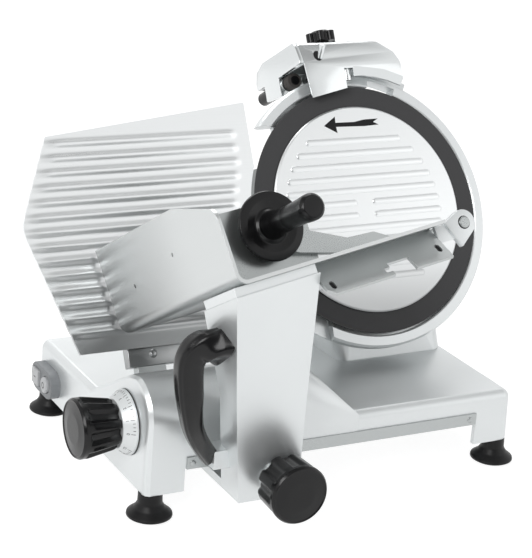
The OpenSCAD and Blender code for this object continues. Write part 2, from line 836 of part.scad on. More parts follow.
module blade_pulley() {
  color("#6f7375") on_blade() translate([0, 0, pulley_n]) difference() {
    union() {
      cylinder(h = pulley_w, r = pulley_r);
      for (n = [-1.5, pulley_w]) translate([0, 0, n]) cylinder(h = 1.5, r = pulley_r + 3);
    }
    translate([0, 0, -2]) cylinder(h = pulley_w + 5, r = spindle_r);
    for (i = [0:4]) rotate(i * 72) translate([27, 0, -2]) cylinder(h = pulley_w + 5, r = 8);
  }
}

// Fixed plate in front of the knife, with pressed ribs and a boss for the tie rod
module blade_cover() {
  rib_r = 88.5;
  pitch = 12.6;
  module rib(u0, u1, v) {
    translate([(u0 + u1) / 2, v]) capsule(u1 - u0, 6.4);
  }
  color("whitesmoke") on_blade() {
    difference() {
      union() {
        translate([0, 0, 0.5]) rotate_extrude($fn = 128)
          polygon([[0, 0], [cover_r, 0], [cover_r, 1.2], [cover_r - 1.4, 2.5], [0, 2.5]]);
        translate([0, 0, -2]) cylinder(h = 3, r = 12);
      }
      translate([0, 0, -3]) cylinder(h = 4, r = 4);
    }
    translate([0, 0, 2.9]) linear_extrude(1.3) for (i = [0:11]) {
      v = 69.5 - i * pitch;
      half = sqrt(rib_r * rib_r - v * v);
      if (i == 5 || i == 6) {
        rib(-4 - half, -12, v);
        rib(5, half - 4, v);
      } else {
        rib(-4 - half, half - 4, v);
      }
    }
  }
}

module cover_tie_rod() {
  color("#b5b8ba") on_blade() translate([0, 0, -127]) cylinder(h = 128, r = 4);
}

module cover_knob() {
  color("#1b1b1b") on_blade() translate([0, 0, -107 - gap]) mirror([0, 0, 1]) difference() {
    fluted_knob(19, 24, 6, 7, 1);
    translate([0, 0, -1]) cylinder(h = 24, r = 4 + run);
  }
}

// Flat belt round both pulleys
module drive_belt() {
  module loop(grow) {
    hull() {
      circle(pulley_r + grow, $fn = 96);
      translate([motor_u, motor_v]) circle(motor_pulley_r + grow, $fn = 48);
    }
  }
  color("#202020") on_blade() translate([0, 0, pulley_n + 1]) linear_extrude(pulley_w - 2) difference() {
    loop(2.2);
    loop(0.3);
  }
}

module motor() {
  color("#8d9193") difference() {
    union() {
      on_blade() translate([motor_u, motor_v, -130]) {
        cylinder(h = 62, r = motor_r);
        for (i = [0:11]) rotate(i * 30) translate([motor_r - 2, -1.2, 6]) cube([4, 2.4, 50]);
        translate([0, 0, 60]) cylinder(h = 4, r = 14);
      }
      placed() for (x = [-36, 50]) translate([x, 22, deck_h]) cube([26, 26, 8]);
    }
    on_blade() translate([motor_u, motor_v, -90]) cylinder(h = 40, r = 6 + run);
  }
}

module motor_rotor() {
  color("#6f7375") on_blade() translate([motor_u, motor_v, 0]) {
    translate([0, 0, -88]) cylinder(h = 38, r = 6);
    translate([0, 0, pulley_n]) cylinder(h = pulley_w, r = motor_pulley_r);
    for (n = [pulley_n - 1.5, pulley_n + pulley_w]) translate([0, 0, n])
      cylinder(h = 1.5, r = motor_pulley_r + 3);
  }
}

// Curved sheet that guides the slices down behind the knife
module slice_deflector() {
  bend_r = 64;
  sheet_t = 1.5;
  color("whitesmoke") on_blade() difference() {
    translate([-138, -70, -18]) rotate([-90, 0, 0]) difference() {
      cylinder(h = 130, r = bend_r);
      translate([0, 0, -1]) cylinder(h = 132, r = bend_r - sheet_t);
      translate([-100, -100, -1]) cube([200, 100, 140]);
      rotate(75) translate([-100, 0, -1]) cube([200, 100, 140]);
    }
  }
}

// Sharpener

module sharpener_post() {
  color("#d5d8da") on_blade() translate([post_u, 127, post_n]) rotate([-90, 0, 0])
    cylinder(h = 48, r = post_r);
}

// Block that slides on the post and carries both stones' plungers
module sharpener_frame() {
  color("silver") on_blade() difference() {
    union() {
      translate([-16, 148, -30]) cube([45, 14, 30]);
      translate([-47, 148, -66]) cube([51, 12, 38]);
      translate([clamp_u, 160, clamp_n]) rotate([-90, 0, 0]) cylinder(h = 10.4, r = 6);
      for (p = [[grind_u, grind_v], [hone_u, hone_v]]) {
        translate([p[0], p[1], -66]) cylinder(h = 32, r = 7.5);
        translate([p[0] - 1, p[1], -66]) cube([6, 152 - p[1], 32]);
      }
    }
    translate([post_u, 140, post_n]) rotate([-90, 0, 0]) cylinder(h = 40, r = post_r + run);
    translate([clamp_u, 150, clamp_n]) rotate([-90, 0, 0]) cylinder(h = 40, r = 3 + run);
    for (p = [[grind_u, grind_v], [hone_u, hone_v]]) translate([p[0], p[1], -70])
      cylinder(h = 40, r = 3 + run);
  }
}

// Folded sheet cover over the stones: front strip, flap, side walls and a stop pin
module sharpener_hood() {
  t = 1.6;
  module shell(inset) {
    intersection() {
      translate([0, 0, -110]) linear_extrude(130) polygon([[-50 + inset, 90], [-50 + inset, 172 - inset],
        [38, 172 - inset], [56 - inset, 158 - inset], [61 - inset, 145], [61 - inset, 90]]);
      translate([-60, 0, 0]) rotate([0, 90, 0]) linear_extrude(130)
        polygon([[-12 + inset, 90], [-12 + inset, 149], [-5 + inset, 172 - inset], [66, 172 - inset],
          [81 - inset, 166 - inset], [86 - inset, 155], [86 - inset, 90]]);
    }
  }
  color("silver") on_blade() {
    difference() {
      shell(0);
      shell(t);
      translate([-70, 80, -120]) cube([140, 68, 130.3]);
      translate([0, 0, 5]) linear_extrude(10) polygon([[-70, 80], [-70, 148], [-50, 148], [-47, 113],
        [-6, 121.5], [-6, 142], [9, 142], [40, 137.5], [62, 129], [75, 129], [75, 80]]);
      translate([post_u, 150, post_n]) rotate([-90, 0, 0]) cylinder(h = 40, r = post_r + 0.6);
      translate([clamp_u, 160, clamp_n]) rotate([-90, 0, 0]) cylinder(h = 40, r = 3.6);
    }
    translate([-30, 154, 9.6]) rotate([-48, 0, 0]) cylinder(h = 15, r = 3);
  }
}

module star_knob() {
  color("#151515") on_blade() translate([clamp_u, 172.4, clamp_n]) rotate([-90, 0, 0]) {
    translate([0, 0, -21]) cylinder(h = 26, r = 3);
    cylinder(h = 6, r = 8);
    translate([0, 0, 5]) linear_extrude(10) {
      circle(11);
      for (i = [0:5]) rotate(i * 60) translate([11.5, 0]) circle(4.4, $fn = 24);
    }
    translate([0, 0, 15]) cylinder(h = 2, r1 = 11, r2 = 9);
  }
}

// A stone on a spindle, standing on z = 0
module stone(r, height, bore) {
  difference() {
    cylinder(h = height, r = r);
    translate([0, 0, -1]) cylinder(h = height + 2, r = bore);
  }
}

module grinding_stone() {
  color("#4d4a48") on_blade() translate([grind_u, grind_v, -30]) stone(7.6, 10, 3 + run);
}

module honing_stone() {
  color("#c9c4b8") on_blade() translate([hone_u, hone_v, 2]) stone(8, 6, 3 + run);
}

// Spring-loaded spindle with a push button at the back and collars beside its stone
module plunger(button, front, collars) {
  translate([0, 0, button]) cylinder(h = -72 - button, r = 7);
  translate([0, 0, -73]) cylinder(h = front + 73, r = 3);
  translate([0, 0, collars[0] - 2]) cylinder(h = 2, r = 4.6);
  translate([0, 0, collars[1]]) cylinder(h = front - collars[1], r = 4.6);
}

module grind_plunger() {
  color("#1b1b1b") on_blade() translate([grind_u, grind_v, 0]) plunger(-90, -18.7, [-30.3, -19.7]);
}

module hone_plunger() {
  color("#1b1b1b") on_blade() translate([hone_u, hone_v, 0]) plunger(-82, 9.4, [1.7, 8.3]);
}

module cord_gland() {
  color("#1b1b1b") placed() translate([-250, base_back - 7, 48]) rotate([-90, 0, 0]) difference() {
    union() {
      cylinder(h = 4, r = 6);
      translate([0, 0, 3.5]) cylinder(h = 6, r = 10, $fn = 6);
      translate([0, 0, 8]) cylinder(h = 6, r1 = 8.5, r2 = 7);
    }
    translate([0, 0, -1]) cylinder(h = 20, r = 3.6);
  }
}

base_casting();
feet();
foot_screws();
bottom_cover();
rail_cover();
cover_screws();
carriage_rod();
guide_bar();
carriage_slider();
slide_bushes();
guide_shoe();
carriage_arm();
product_table();
table_plate();
carriage_handle();
handle_bolts();
front_bracket();
rod_lugs();
pusher_rod();
pusher_bush();
pusher_arm();
pusher_plate();
hand_guard();
pusher_grip();
lock_knob();
lock_stud();
gauge_plate();
gauge_carrier();
gauge_rod();
dial_knob();
dial_skirt();
dial_shaft();
switch_housing();
start_button();
stop_button();
blade_housing();
blade();
blade_hub();
blade_screws();
blade_spindle();
spindle_bearings();
blade_pulley();
blade_cover();
cover_tie_rod();
cover_knob();
drive_belt();
motor();
motor_rotor();
slice_deflector();
sharpener_post();
sharpener_frame();
sharpener_hood();
star_knob();
grinding_stone();
honing_stone();
grind_plunger();
hone_plunger();
cord_gland();
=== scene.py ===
"""Looks of a counter-top gravity slicer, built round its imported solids.

Every piece lies in the same frame as the solids, in metres: +X along the carriage travel,
+Y to the back, +Z up.
"""

import json
import math

import bmesh
import bpy
from bpy.props import FloatProperty, FloatVectorProperty, PointerProperty
from mathutils import Matrix, Vector

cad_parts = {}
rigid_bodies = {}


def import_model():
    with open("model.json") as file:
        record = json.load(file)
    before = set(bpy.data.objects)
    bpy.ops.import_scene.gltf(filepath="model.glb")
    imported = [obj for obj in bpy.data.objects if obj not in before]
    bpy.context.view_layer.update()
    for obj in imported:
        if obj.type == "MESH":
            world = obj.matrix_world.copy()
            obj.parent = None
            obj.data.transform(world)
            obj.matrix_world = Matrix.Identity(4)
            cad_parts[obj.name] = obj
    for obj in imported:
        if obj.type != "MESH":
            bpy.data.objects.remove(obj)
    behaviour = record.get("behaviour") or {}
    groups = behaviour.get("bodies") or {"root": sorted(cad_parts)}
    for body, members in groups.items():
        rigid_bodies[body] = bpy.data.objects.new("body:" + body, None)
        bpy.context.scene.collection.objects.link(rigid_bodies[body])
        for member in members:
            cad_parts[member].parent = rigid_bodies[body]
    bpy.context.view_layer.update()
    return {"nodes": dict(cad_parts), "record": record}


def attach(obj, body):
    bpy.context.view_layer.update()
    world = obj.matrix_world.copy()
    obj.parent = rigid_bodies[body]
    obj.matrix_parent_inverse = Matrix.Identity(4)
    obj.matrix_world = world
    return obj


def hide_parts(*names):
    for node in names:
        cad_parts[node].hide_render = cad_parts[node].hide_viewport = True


bl_info = {
    "name": "Gravity slicer looks",
    "version": (1, 0, 0),
    "blender": (4, 5, 0),
    "location": "View3D > Sidebar > Slicer",
    "description": "Dresses the solids of a counter-top slicer with rounded, finished pieces",
    "category": "Object",
}

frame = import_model()
BODY_OF = {node: body for body, nodes in frame["record"]["behaviour"]["bodies"].items() for node in nodes}
JOINT = {joint["name"]: joint for joint in frame["record"]["behaviour"]["joints"]}
MM = 0.001
# An edge that turns by more degrees than this is rounded
SHARP = 32.0

# The knife's frame: x right, y up its face, z out of it to the operator
TILT = math.atan2(JOINT["knife_spin"]["axis"][2], -JOINT["knife_spin"]["axis"][1])
KNIFE = Matrix.Translation(JOINT["knife_spin"]["pos_m"]) @ Matrix.Rotation(math.pi / 2 - TILT, 4, "X")
# The product table's frame: the same, turned to the trough's slope
TABLE = KNIFE @ Matrix.Rotation(math.radians(10), 4, "Z")
# The machine's frame without the shift that centres the part
SHIFT = Matrix.Translation((JOINT["knife_spin"]["pos_m"][0], JOINT["knife_spin"]["pos_m"][1], 0))
# The pusher rod's line across the table, in millimetres
ROD_LINE = (-65, -51.5)
# The dial's frame: z out of its face to the left
DIAL = SHIFT @ Matrix.Translation((-0.3003, -0.109, 0.0774)) @ Matrix.Rotation(-math.pi / 2, 4, "Y")


# Settings


def length_setting(name, description, default, least=0.0):
    """A length among the settings."""
    return FloatProperty(name=name, description=description, default=default, min=least, subtype="DISTANCE",
                         unit="LENGTH")


def colour_setting(name, description, default):
    """A colour among the settings."""
    return FloatVectorProperty(name=name, description=description, default=default, size=3, min=0, max=1,
                               subtype="COLOR")


class SlicerSizes(bpy.types.PropertyGroup):
    """Sizes of the finish"""

    casting_edge: length_setting("Casting edge", "Radius on the castings' edges", 0.0016)
    sheet_edge: length_setting("Sheet edge", "Radius on the edges of bent sheet", 0.0005)
    moulded_edge: length_setting("Moulded edge", "Radius on the edges of plastic mouldings", 0.0008)
    turned_edge: length_setting("Turned edge", "Radius on the edges of turned pieces", 0.0003)
    hood_fold: length_setting("Hood fold", "Radius of the bends in the sharpener's hood", 0.004)
    floor: length_setting("Floor", "Side of the floor", 6.0, 1)
    lens: FloatProperty(name="Lens", description="Focal length on a 36 mm frame", default=111.6, min=20)


class SlicerColours(bpy.types.PropertyGroup):
    """Colours of the finishes"""

    casting: colour_setting("Casting", "Satin cast alloy", (0.74, 0.765, 0.77))
    sheet: colour_setting("Sheet", "Satin alloy sheet", (0.65, 0.67, 0.67))
    plate: colour_setting("Plate", "Pale ribbed plates", (0.87, 0.89, 0.895))
    steel: colour_setting("Steel", "Plain steel", (0.44, 0.46, 0.46))
    bracket: colour_setting("Bracket", "Dark bracket sheet", (0.48, 0.50, 0.50))
    # Painted reflection: the knife's polished steel gets this dark matte colour for the dark it reflects
    knife: colour_setting("Knife", "Dark rim of the knife", (0.062, 0.062, 0.064))
    plastic: colour_setting("Black plastic", "Gloss mouldings", (0.007, 0.007, 0.0075))
    rubber: colour_setting("Rubber", "Feet and belt", (0.008, 0.008, 0.0085))
    switch: colour_setting("Switch", "Grey switch body", (0.20, 0.21, 0.22))
    button: colour_setting("Button", "Pale push buttons", (0.46, 0.47, 0.48))
    bronze: colour_setting("Bronze", "Plain bushes", (0.56, 0.38, 0.16))
    nylon: colour_setting("Nylon", "Guide shoe", (0.72, 0.70, 0.63))
    motor: colour_setting("Motor", "Painted motor", (0.16, 0.17, 0.18))
    stone: colour_setting("Stone", "Abrasive stones", (0.055, 0.05, 0.047))
    # Printed marks, and also the painted shadow ring at the dial skirt's rim
    ink: colour_setting("Ink", "Printed marks", (0.012, 0.012, 0.013))


def sizes():
    return bpy.context.scene.slicer_sizes


def colours():
    return bpy.context.scene.slicer_colours


# Materials


def add(tree, kind, settings=None, **wires):
    """A shader node: settings are its attributes, wires its inputs by name, or by place as in0, in1."""
    node = tree.nodes.new(kind)
    for key, value in (settings or {}).items():
        setattr(node, key, value)
    for key, value in wires.items():
        by_place = key[:2] == "in" and key[2:].isdigit()
        socket = node.inputs[int(key[2:]) if by_place else key.replace("_", " ")]
        if isinstance(value, bpy.types.NodeSocket):
            tree.links.new(value, socket)
        else:
            socket.default_value = value
    return node


def effect(name, inputs):
    """A new node group with the inputs given and the outputs Tint and Height, or None if it is there already."""
    if name in bpy.data.node_groups:
        return None, None, None
    tree = bpy.data.node_groups.new(name, "ShaderNodeTree")
    for label, kind, value in inputs:
        socket = tree.interface.new_socket(name=label, in_out="INPUT", socket_type=kind)
        if value is not None:
            socket.default_value = value
    for label in ("Tint", "Height"):
        tree.interface.new_socket(name=label, in_out="OUTPUT", socket_type="NodeSocketFloat")
    return tree, tree.nodes.new("NodeGroupInput").outputs, tree.nodes.new("NodeGroupOutput").inputs


VECTOR = ("Vector", "NodeSocketVector", None)
SCALE = ("Scale", "NodeSocketFloat", 1.0)


def cast_grain():
    """Fine pits and slow clouds of a bead-blasted casting."""
    tree, given, out = effect("Cast grain", [VECTOR, SCALE])
    if tree:
        fine = add(tree, "ShaderNodeTexNoise", Vector=given["Vector"], Scale=1400.0, Detail=3.0, Roughness=0.6)
        cloud = add(tree, "ShaderNodeTexNoise", Vector=given["Vector"], Scale=11.0, Detail=4.0, Roughness=0.55)
        size = add(tree, "ShaderNodeMath", {"operation": "MULTIPLY"}, in0=given["Scale"], in1=900.0)
        pits = add(tree, "ShaderNodeTexVoronoi", Vector=given["Vector"], Scale=size.outputs[0])
        tint = add(tree, "ShaderNodeMix", {"data_type": "FLOAT"}, in0=0.35, in2=cloud.outputs[0], in3=fine.outputs[0])
        tree.links.new(tint.outputs[0], out["Tint"])
        deep = add(tree, "ShaderNodeMath", {"operation": "MULTIPLY_ADD"}, in0=pits.outputs["Distance"], in1=0.5,
                   in2=fine.outputs[0])
        tree.links.new(deep.outputs[0], out["Height"])


def brush_lines():
    """Fine parallel lines of a brushed surface, along the coordinates' x, with slow clouds."""
    tree, given, out = effect("Brush lines", [VECTOR, SCALE])
    if tree:
        long = add(tree, "ShaderNodeMapping", Vector=given["Vector"], Scale=(5.0, 1900.0, 1900.0))
        lines = add(tree, "ShaderNodeTexNoise", Vector=long.outputs[0], Scale=given["Scale"], Detail=3.0,
                    Roughness=0.6)
        cloud = add(tree, "ShaderNodeTexNoise", Vector=given["Vector"], Scale=9.0, Detail=3.0)
        tint = add(tree, "ShaderNodeMix", {"data_type": "FLOAT"}, in0=0.5, in2=cloud.outputs[0], in3=lines.outputs[0])
        tree.links.new(tint.outputs[0], out["Tint"])
        tree.links.new(lines.outputs[0], out["Height"])


def turned_rings():
    """Fine rings of a turned face round the coordinates' z."""
    tree, given, out = effect("Turned rings", [VECTOR, SCALE])
    if tree:
        wave = add(tree, "ShaderNodeTexWave", {"wave_type": "RINGS", "rings_direction": "Z"}, Vector=given["Vector"],
                   Scale=given["Scale"], Distortion=0.6, Detail=2.0, Detail_Scale=3.0)
        cloud = add(tree, "ShaderNodeTexNoise", Vector=given["Vector"], Scale=14.0, Detail=3.0)
        tint = add(tree, "ShaderNodeMix", {"data_type": "FLOAT"}, in0=0.4, in2=cloud.outputs[0],
                   in3=wave.outputs["Fac"])
        tree.links.new(tint.outputs[0], out["Tint"])
        tree.links.new(wave.outputs["Fac"], out["Height"])


def moulded_skin():
    """Faint orange peel of a gloss moulding, with handling marks."""
    tree, given, out = effect("Moulded skin", [VECTOR, SCALE])
    if tree:
        size = add(tree, "ShaderNodeMath", {"operation": "MULTIPLY"}, in0=given["Scale"], in1=420.0)
        peel = add(tree, "ShaderNodeTexNoise", Vector=given["Vector"], Scale=size.outputs[0], Detail=2.0)
        marks = add(tree, "ShaderNodeTexNoise", Vector=given["Vector"], Scale=38.0, Detail=5.0, Roughness=0.65)
        tree.links.new(marks.outputs[0], out["Tint"])
        tree.links.new(peel.outputs[0], out["Height"])


EFFECTS = {"Cast grain": cast_grain, "Brush lines": brush_lines, "Turned rings": turned_rings,
           "Moulded skin": moulded_skin}


def finish(name, colour, pattern, scale=1.0, metal=0.0, rough=(0.3, 0.4), vary=0.06, bump=0.05, depth=0.0002,
           gloss=0.5, place=None, painted_shade=None):
    """A material whose colour, gloss and bump come from one of the effects.

    Painted shade: an (axis, start, end, share) darkens the colour to that share at the start of a span, standing in
    for shade.
    """
    if name in bpy.data.materials:
        return bpy.data.materials[name]
    EFFECTS[pattern]()
    material = bpy.data.materials.new(name)
    material.use_nodes = True
    tree = material.node_tree
    shader = tree.nodes["Principled BSDF"]
    coords = add(tree, "ShaderNodeTexCoord").outputs["Object"]
    if place is not None:
        where, turn, _ = place.decompose()
        coords = add(tree, "ShaderNodeMapping", {"vector_type": "TEXTURE"}, Vector=coords, Location=where,
                     Rotation=turn.to_euler()).outputs[0]
    group = add(tree, "ShaderNodeGroup", {"node_tree": bpy.data.node_groups[pattern]}, Vector=coords, Scale=scale)
    dark = [c * (1 - vary) for c in colour]
    light = [min(1, c * (1 + vary)) for c in colour]
    tone = add(tree, "ShaderNodeMix", {"data_type": "RGBA"}, Factor=group.outputs["Tint"])
    tone.inputs[6].default_value = (*dark, 1)
    tone.inputs[7].default_value = (*light, 1)
    shade = tone.outputs[2]
    # Painted shade: the colour is darkened along one axis, standing in for shade that falls there
    if painted_shade:
        along = add(tree, "ShaderNodeSeparateXYZ", Vector=coords).outputs[painted_shade[0]]
        share = add(tree, "ShaderNodeMapRange", {"interpolation_type": "SMOOTHSTEP"}, Value=along, From_Min=painted_shade[1],
                    From_Max=painted_shade[2], To_Min=painted_shade[3], To_Max=1.0)
        painted_dark = add(tree, "ShaderNodeVectorMath", {"operation": "SCALE"}, in0=shade, Scale=share.outputs[0])
        shade = painted_dark.outputs[0]
    tree.links.new(shade, shader.inputs["Base Color"])
    sheen = add(tree, "ShaderNodeMapRange", Value=group.outputs["Tint"], From_Min=0.3, From_Max=0.7, To_Min=rough[0],
                To_Max=rough[1])
    tree.links.new(sheen.outputs[0], shader.inputs["Roughness"])
    relief = add(tree, "ShaderNodeBump", Height=group.outputs["Height"], Strength=bump, Distance=depth)
    tree.links.new(relief.outputs[0], shader.inputs["Normal"])
    shader.inputs["Metallic"].default_value = metal
    shader.inputs["Specular IOR Level"].default_value = gloss
    return material


# Brushing along the product table
ALONG_TABLE = TABLE @ Matrix.Rotation(math.pi / 2, 4, "Y")
# Each finish: the material's name, its colour among the settings, its effect and what departs from the plain finish
FINISHES = {
    "cast": ("cast_satin", "casting", "Cast grain", dict(metal=0.75, rough=(0.28, 0.36), bump=0.06)),
    "base": ("base_satin", "casting", "Cast grain", dict(metal=0.6, rough=(0.28, 0.36), bump=0.06)),
    # Painted shade: the table's sheet is darker towards the knife end, where shade falls
    "sheet": ("sheet_satin", "sheet", "Brush lines", dict(metal=0.9, rough=(0.32, 0.40), bump=0.03,
        depth=0.0001, place=ALONG_TABLE, painted_shade=("X", -0.02, -0.20, 0.52))),
    # Painted shade: the blade cover is darker towards its bottom
    "plate": ("plate_bright", "plate", "Brush lines", dict(metal=0.75, rough=(0.28, 0.36), bump=0.02,
        depth=0.0001, place=KNIFE, painted_shade=("Y", -0.125, -0.015, 0.5))),
    # Painted shade: the gauge plate is darker towards its bottom
    "ribbed": ("ribbed_bright", "plate", "Brush lines", dict(metal=0.9, rough=(0.26, 0.34), bump=0.02,
        depth=0.0001, place=KNIFE, painted_shade=("Y", -0.125, -0.03, 0.4))),
    "hood": ("hood_bright", "casting", "Brush lines", dict(metal=0.95, rough=(0.18, 0.24), bump=0.02,
        depth=0.0001, place=KNIFE)),
    "steel": ("steel_plain", "steel", "Cast grain", dict(metal=0.9, rough=(0.24, 0.34), bump=0.04)),
    "bracket": ("bracket_dark", "bracket", "Brush lines", dict(metal=0.8, rough=(0.30, 0.40), bump=0.03,
        depth=0.0001, place=ALONG_TABLE)),
    "lug": ("lug_satin", "casting", "Cast grain", dict(metal=0.6, rough=(0.34, 0.42), bump=0.04)),
    "rod": ("rod_ground", "plate", "Moulded skin", dict(metal=1.0, rough=(0.10, 0.18), bump=0.01)),
    "skirt": ("skirt_satin", "casting", "Turned rings", dict(scale=700.0, metal=0.4, rough=(0.34, 0.42),
        bump=0.02, place=DIAL)),
    # Painted reflection: dark matte and not metal, standing in for what the polished knife reflects
    "knife": ("knife_dark", "knife", "Turned rings", dict(scale=900.0, metal=0.0, rough=(0.42, 0.5), bump=0.03,
        depth=0.0001, gloss=0.2, place=KNIFE)),
    "plastic": ("plastic_black", "plastic", "Moulded skin", dict(rough=(0.16, 0.24), vary=0.15, bump=0.03,
        gloss=0.3)),
    "rubber": ("rubber_black", "rubber", "Moulded skin", dict(scale=2.0, rough=(0.36, 0.5), vary=0.2, bump=0.08,
        gloss=0.25)),
    "switch": ("switch_grey", "switch", "Moulded skin", dict(scale=2.5, rough=(0.40, 0.5), bump=0.06)),
    "button": ("button_pale", "button", "Moulded skin", dict(rough=(0.26, 0.36), bump=0.03)),
    "bronze": ("bronze_plain", "bronze", "Turned rings", dict(scale=300.0, metal=1.0, rough=(0.3, 0.42))),
    "nylon": ("nylon_white", "nylon", "Moulded skin", dict(rough=(0.42, 0.52))),
    "motor": ("motor_paint", "motor", "Moulded skin", dict(scale=2.0, rough=(0.42, 0.55), bump=0.06)),
    "stone": ("stone_grit", "stone", "Cast grain", dict(rough=(0.82, 0.92), vary=0.4, bump=0.5)),
    "ink": ("ink_black", "ink", "Moulded skin", dict(rough=(0.45, 0.55), bump=0.02, gloss=0.2)),
}


def palette(name):
    """The finish of that name."""
    title, tone, pattern, rest = FINISHES[name]
    return finish(title, getattr(colours(), tone), pattern, **rest)


# Pieces


def piece(name, bm, material, body, smooth=35.0):
    """Makes a bmesh a piece of the scene: shaded, finished, riding on its body."""
    mesh = bpy.data.meshes.new(name)
    bm.to_mesh(mesh)
    bm.free()
    mesh.shade_smooth()
    mesh.set_sharp_from_angle(angle=math.radians(smooth))
    mesh.materials.append(palette(material))
    made = bpy.data.objects.new(name, mesh)
    bpy.context.collection.objects.link(made)
    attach(made, body)
    return made


def solid_copy(node):
    """A node's own shape with its loose triangles joined and its flat faces whole."""
    bm = bmesh.new()
    bm.from_mesh(frame["nodes"][node].data)
    bmesh.ops.remove_doubles(bm, verts=bm.verts, dist=1e-6)
    bmesh.ops.dissolve_limit(bm, angle_limit=math.radians(0.4), verts=bm.verts, edges=bm.edges)
    return bm


def round_edges(bm, width, segments=2, keep=None):
    """Rounds every sharp edge, or those that a test keeps."""
    if width <= 0:
        return
    limit = math.radians(SHARP)
    edges = [e for e in bm.edges if len(e.link_faces) == 2 and e.calc_face_angle(0) > limit]
    if keep:
        edges = [e for e in edges if keep(e)]
    bmesh.ops.bevel(bm, geom=edges, offset=width, offset_type="OFFSET", segments=segments, profile=0.5,
                    affect="EDGES", clamp_overlap=True, material=-1)


def dress(node, material, width):
    """Stands a rounded, finished copy in a node's place."""
    bm = solid_copy(node)
    round_edges(bm, width)
    made = piece(node + "_skin", bm, material, BODY_OF[node])
    made.modifiers.new("even_shade", "WEIGHTED_NORMAL").keep_sharp = True
    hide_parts(node)
    return made


def coat(node, material):
    """Gives a node that keeps its own shape a finish."""
    shown = frame["nodes"][node]
    if not shown.material_slots:
        shown.data.materials.append(palette(material))
    for slot in shown.material_slots:
        slot.material = palette(material)


def fillet(corners, parts=5):
    """A line through corners (x, y, radius), its corners rounded."""
    line = []
    for i, corner in enumerate(corners):
        here = Vector(corner[:2])
        radius = corner[2] if len(corner) > 2 else 0
        if not radius or i in (0, len(corners) - 1):
            line.append(here)
            continue
        a = (Vector(corners[i - 1][:2]) - here)
        b = (Vector(corners[i + 1][:2]) - here)
        half = a.angle(b) / 2
        reach = min(radius / math.tan(half), a.length * 0.49, b.length * 0.49)
        a.normalize()
        b.normalize()
        centre = here + (a + b).normalized() * reach / math.cos(half)
        start = here + a * reach - centre
        turn = (here + a * reach - centre).angle_signed(here + b * reach - centre)
        for k in range(parts + 1):
            line.append(centre + Matrix.Rotation(-turn * k / parts, 2) @ start)
    return line


def lathe(corners, steps=96):
    """A turned shape round z from corners (radius, height, rounding) in millimetres."""
    bm = bmesh.new()
    points = [bm.verts.new((x * MM, 0, y * MM)) for x, y in fillet(corners)]
    edges = [bm.edges.new(pair) for pair in zip(points, points[1:])]
    bmesh.ops.spin(bm, geom=points + edges, axis=(0, 0, 1), angle=2 * math.pi, steps=steps, use_merge=True)
    bmesh.ops.remove_doubles(bm, verts=bm.verts, dist=1e-7)
    bmesh.ops.recalc_face_normals(bm, faces=bm.faces)
    return bm


def slab(outline, height):
    """A flat plate from an outline in millimetres, standing on z = 0."""
    bm = bmesh.new()
    face = bm.faces.new([bm.verts.new((x * MM, y * MM, 0)) for x, y in outline])
    raised = bmesh.ops.extrude_face_region(bm, geom=[face])["geom"]
    bmesh.ops.translate(bm, verts=[v for v in raised if isinstance(v, bmesh.types.BMVert)], vec=(0, 0, height * MM))
    bmesh.ops.recalc_face_normals(bm, faces=bm.faces)
    return bm


def join(parts):
    """One bmesh out of several, each put where its matrix says."""
    whole = bmesh.new()
    for bm, place in parts:
        put(bm, place)
        mesh = bpy.data.meshes.new("part")
        bm.to_mesh(mesh)
        bm.free()
        whole.from_mesh(mesh)
        bpy.data.meshes.remove(mesh)
    return whole


def put(bm, place):
    """Moves a bmesh to where a matrix says."""
    bmesh.ops.transform(bm, matrix=place, verts=bm.verts)
    return bm


def at(x, y, z):
    """A shift in millimetres."""
    return Matrix.Translation((x * MM, y * MM, z * MM))


def facing(axis):
    """Turns z to an axis."""
    return Vector(axis).to_track_quat("Z", "Y").to_matrix().to_4x4()


def stand_in(name, bm, material, node, smooth=35.0):
    """A new shape that stands in a node's place."""
    made = piece(name, bm, material, BODY_OF[node], smooth)
    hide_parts(node)
    return made


def mark(name, bm, material, node):
    """A small extra piece that rides with a node."""
    return piece(name, bm, material, BODY_OF[node])


def numeral(text, height):
    """A flat number lying on z = 0, its middle on the origin, in millimetres."""
    curve = bpy.data.curves.new("numeral", "FONT")
    curve.body = text
    curve.size = height * MM
    curve.align_x = "CENTER"
    curve.align_y = "CENTER"
    curve.extrude = 0.03 * MM
    made = bpy.data.objects.new("numeral", curve)
    bpy.context.collection.objects.link(made)
    bm = bmesh.new()
    mesh = bpy.data.meshes.new_from_object(made.evaluated_get(bpy.context.evaluated_depsgraph_get()))
    bm.from_mesh(mesh)
    bpy.data.objects.remove(made)
    bpy.data.meshes.remove(mesh)
    bpy.data.curves.remove(curve)
    return bm


def ease(t):
    """Rises softly from 0 to 1."""
    t = min(1, max(0, t))
    return t * t * (3 - 2 * t)


def sweep(rings, segments, square, groove=None):
    """A closed bar through rings (centre, direction, side, half width, half depth) in millimetres.

    The section is an ellipse squared up by the exponent; a groove is (angle, depth) on it.
    """
    bm = bmesh.new()
    last = None
    for centre, along, side, width, depth in rings:
        z = Vector(along).normalized()
        x = (Vector(side) - z * z.dot(Vector(side))).normalized()
        turn = Matrix((x, z.cross(x), z)).transposed().to_4x4()
        place = at(*centre) @ turn @ Matrix.Diagonal((width * MM, depth * MM, 1, 1))
        made = bmesh.ops.create_circle(bm, segments=segments, radius=1)["verts"]
        for v in made:
            angle = math.atan2(v.co.y, v.co.x)
            v.co *= (abs(v.co.x) ** square + abs(v.co.y) ** square) ** (-1 / square)
            if groove:
                v.co *= 1 - groove[1] * math.exp(-((angle - groove[0]) / 0.11) ** 2)
        bmesh.ops.transform(bm, matrix=place, verts=made)
        loop = list({e for v in made for e in v.link_edges})
        if last:
            bmesh.ops.bridge_loops(bm, edges=last + loop)
        last = loop
    bmesh.ops.holes_fill(bm, edges=bm.edges, sides=0)
    bmesh.ops.recalc_face_normals(bm, faces=bm.faces)
    return bm


